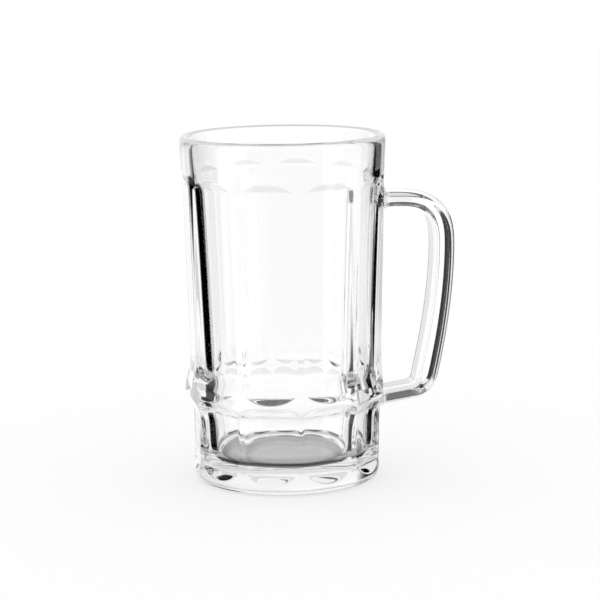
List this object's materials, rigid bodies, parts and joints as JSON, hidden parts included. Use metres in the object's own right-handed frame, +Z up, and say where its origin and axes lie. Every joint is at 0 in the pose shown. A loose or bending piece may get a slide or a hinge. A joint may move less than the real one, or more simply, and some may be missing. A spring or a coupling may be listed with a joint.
{
  "type": "glass beer mug",
  "caption": "Panelled clear glass beer mug with a rounded drinking lip, a raised girdle, a thick base and a solid D-shaped glass handle.",
  "frame": {"origin": "on the mug's axis in the plane of its flat underside, where it stands on the table", "axes": "+Z up along the mug's axis, +X from the axis through the middle of the handle, +Y to complete a right-handed frame"},
  "size_m": [0.1198, 0.089, 0.15],
  "materials": {
    "clear_glass": "clear colourless pressed soda-lime glass, fire polished"
  },
  "bodies": {
    "root": {"mug_body": "clear_glass", "handle": "clear_glass"}
  },
  "joints": []
}
